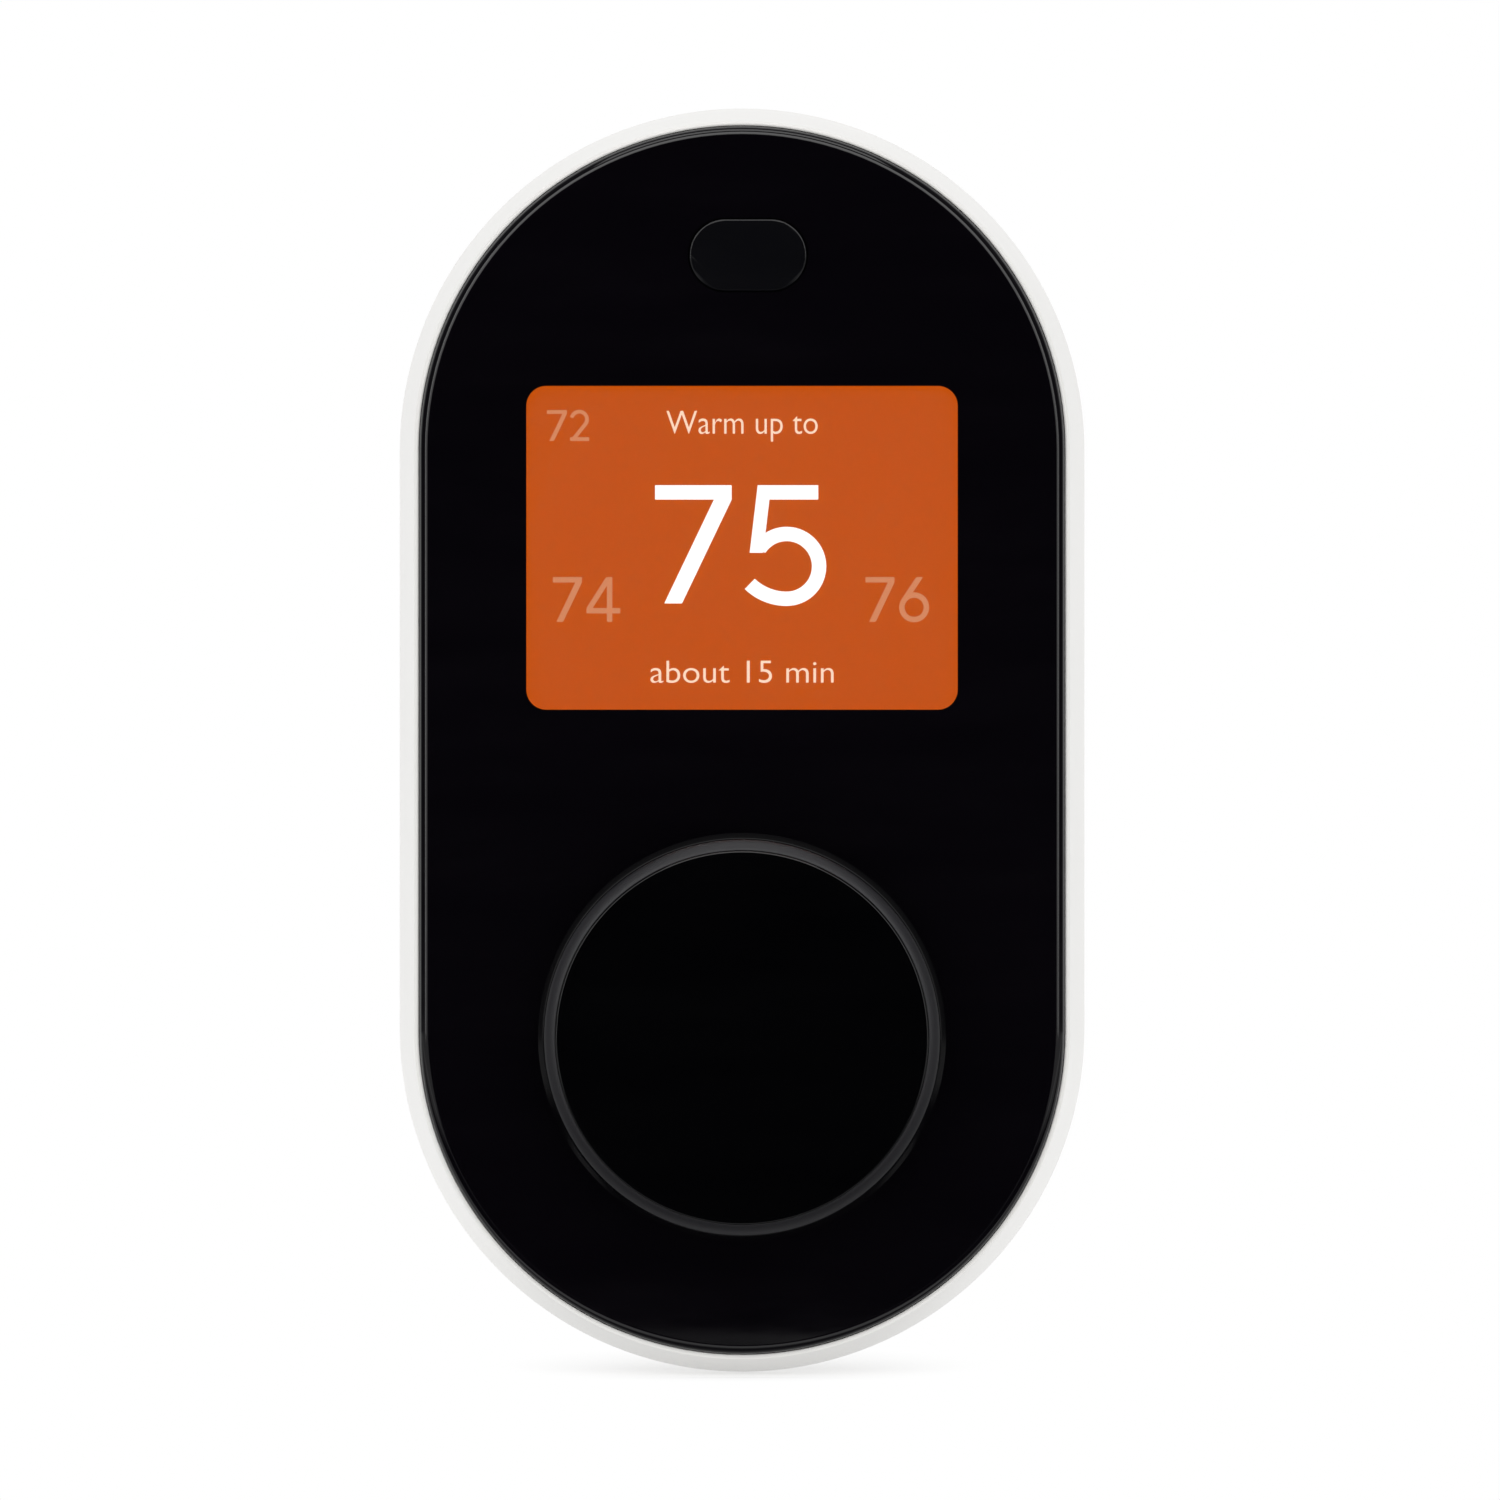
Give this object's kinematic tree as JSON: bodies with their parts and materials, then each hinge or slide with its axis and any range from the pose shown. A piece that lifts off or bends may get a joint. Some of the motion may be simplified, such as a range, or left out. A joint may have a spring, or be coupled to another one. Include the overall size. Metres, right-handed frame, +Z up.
{
  "type": "wall thermostat",
  "caption": "Wall thermostat with a stadium-shaped body, lit display, motion sensor window and a knob that turns and presses; the display unit pulls off a wall base with push terminals.",
  "frame": {"origin": "point on the wall midway between the two wall screw holes", "axes": "+Z up the wall, +X to the right seen from the front, the front faces -Y and the wall is the plane y = 0"},
  "size_m": [0.0694, 0.0352, 0.1278],
  "materials": {
    "white_shell": "satin white moulded plastic",
    "base_plastic": "fine matte white moulded plastic",
    "board_green": "green solder mask over copper tracks",
    "steel_screw": "nickel-plated steel",
    "sheet_steel": "tin-plated pressed steel",
    "contact_brass": "gold-flashed copper alloy",
    "tab_plastic": "orange moulded nylon",
    "black_plastic": "matte black moulded plastic",
    "component_black": "epoxy moulding compound",
    "vial_clear": "clear acrylic",
    "vial_fluid": "tinted alcohol",
    "lens_black": "piano black hard-coated acrylic",
    "window_clear": "clear hard-coated acrylic",
    "screen_lit": "lit orange display",
    "diffuser_white": "white light guide and film",
    "foam_grey": "closed-cell foam",
    "tape_black": "black acrylic foam tape",
    "ribbon_amber": "polyimide film over copper",
    "connector_ivory": "ivory nylon",
    "pir_black": "smooth dark polyethylene",
    "can_aluminium": "drawn aluminium can with sleeve",
    "bead_epoxy": "dipped epoxy bead",
    "rotor_acetal": "natural acetal",
    "shaft_steel": "turned steel",
    "knob_matte": "soft-touch matte black plastic",
    "knob_gloss": "polished black acrylic disc"
  },
  "bodies": {
    "wall_base": {"wall_plate": "base_plastic", "base_board": "board_green", "base_board_screws": "steel_screw", "terminal_block_left": "base_plastic", "terminal_block_right": "base_plastic", "spring_contacts": "contact_brass", "base_sockets": "black_plastic", "socket_contacts": "contact_brass", "level_vial": "vial_clear", "level_fluid": "vial_fluid"},
    "display_unit": {"housing": "white_shell", "rear_cover": "base_plastic", "rear_cover_screws": "steel_screw", "main_board": "board_green", "board_screws": "steel_screw", "wifi_board": "board_green", "wifi_shield": "sheet_steel", "processor_chip": "component_black", "relays": "component_black", "capacitors": "can_aluminium", "inductor": "component_black", "pin_headers": "black_plastic", "header_pins": "contact_brass", "front_lens": "lens_black", "display_window": "window_clear", "lens_tape": "tape_black", "display_panel": "screen_lit", "backlight": "diffuser_white", "display_frame": "sheet_steel", "display_gasket": "foam_grey", "display_carrier": "black_plastic", "carrier_screws": "steel_screw", "display_ribbon": "ribbon_amber", "ribbon_connector": "connector_ivory", "pir_window": "pir_black", "pir_sensor": "sheet_steel", "pir_holder": "foam_grey", "temperature_sensor": "bead_epoxy", "sensor_barrier": "foam_grey", "encoder_body": "black_plastic", "encoder_bracket": "sheet_steel", "encoder_bushing": "shaft_steel", "encoder_nut": "steel_screw", "switch_dome": "sheet_steel"},
    "encoder_rotor": {"encoder_rotor": "rotor_acetal"},
    "knob": {"encoder_shaft": "shaft_steel", "knob_body": "knob_matte", "knob_face": "knob_gloss", "shaft_clip": "sheet_steel"},
    "tab_left_1": {"tab_left_1": "tab_plastic"},
    "tab_left_2": {"tab_left_2": "tab_plastic"},
    "tab_left_3": {"tab_left_3": "tab_plastic"},
    "tab_left_4": {"tab_left_4": "tab_plastic"},
    "tab_left_5": {"tab_left_5": "tab_plastic"},
    "tab_right_1": {"tab_right_1": "tab_plastic"},
    "tab_right_2": {"tab_right_2": "tab_plastic"},
    "tab_right_3": {"tab_right_3": "tab_plastic"},
    "tab_right_4": {"tab_right_4": "tab_plastic"},
    "tab_right_5": {"tab_right_5": "tab_plastic"}
  },
  "joints": [
    {"name": "display_pull_off", "type": "slide", "parent": "wall_base", "child": "display_unit", "axis": [0, -1, 0], "range_m": [0, 0.03]},
    {"name": "knob_turn", "type": "hinge", "parent": "display_unit", "child": "encoder_rotor", "pos_m": [0, -0.024, -0.0298], "axis": [0, -1, 0], "continuous": true},
    {"name": "knob_press", "type": "slide", "parent": "encoder_rotor", "child": "knob", "axis": [0, 1, 0], "range_m": [0, 0.0008], "stiffness_N_per_m": 2000, "springref_m": -0.0005, "deforming": ["switch_dome"]},
    {"name": "press_tab_left_1", "type": "slide", "parent": "wall_base", "child": "tab_left_1", "axis": [0, 1, 0], "range_m": [0, 0.001], "stiffness_N_per_m": 1500, "springref_m": -0.0005},
    {"name": "press_tab_left_2", "type": "slide", "parent": "wall_base", "child": "tab_left_2", "axis": [0, 1, 0], "range_m": [0, 0.001], "stiffness_N_per_m": 1500, "springref_m": -0.0005},
    {"name": "press_tab_left_3", "type": "slide", "parent": "wall_base", "child": "tab_left_3", "axis": [0, 1, 0], "range_m": [0, 0.001], "stiffness_N_per_m": 1500, "springref_m": -0.0005},
    {"name": "press_tab_left_4", "type": "slide", "parent": "wall_base", "child": "tab_left_4", "axis": [0, 1, 0], "range_m": [0, 0.001], "stiffness_N_per_m": 1500, "springref_m": -0.0005},
    {"name": "press_tab_left_5", "type": "slide", "parent": "wall_base", "child": "tab_left_5", "axis": [0, 1, 0], "range_m": [0, 0.001], "stiffness_N_per_m": 1500, "springref_m": -0.0005},
    {"name": "press_tab_right_1", "type": "slide", "parent": "wall_base", "child": "tab_right_1", "axis": [0, 1, 0], "range_m": [0, 0.001], "stiffness_N_per_m": 1500, "springref_m": -0.0005},
    {"name": "press_tab_right_2", "type": "slide", "parent": "wall_base", "child": "tab_right_2", "axis": [0, 1, 0], "range_m": [0, 0.001], "stiffness_N_per_m": 1500, "springref_m": -0.0005},
    {"name": "press_tab_right_3", "type": "slide", "parent": "wall_base", "child": "tab_right_3", "axis": [0, 1, 0], "range_m": [0, 0.001], "stiffness_N_per_m": 1500, "springref_m": -0.0005},
    {"name": "press_tab_right_4", "type": "slide", "parent": "wall_base", "child": "tab_right_4", "axis": [0, 1, 0], "range_m": [0, 0.001], "stiffness_N_per_m": 1500, "springref_m": -0.0005},
    {"name": "press_tab_right_5", "type": "slide", "parent": "wall_base", "child": "tab_right_5", "axis": [0, 1, 0], "range_m": [0, 0.001], "stiffness_N_per_m": 1500, "springref_m": -0.0005}
  ]
}
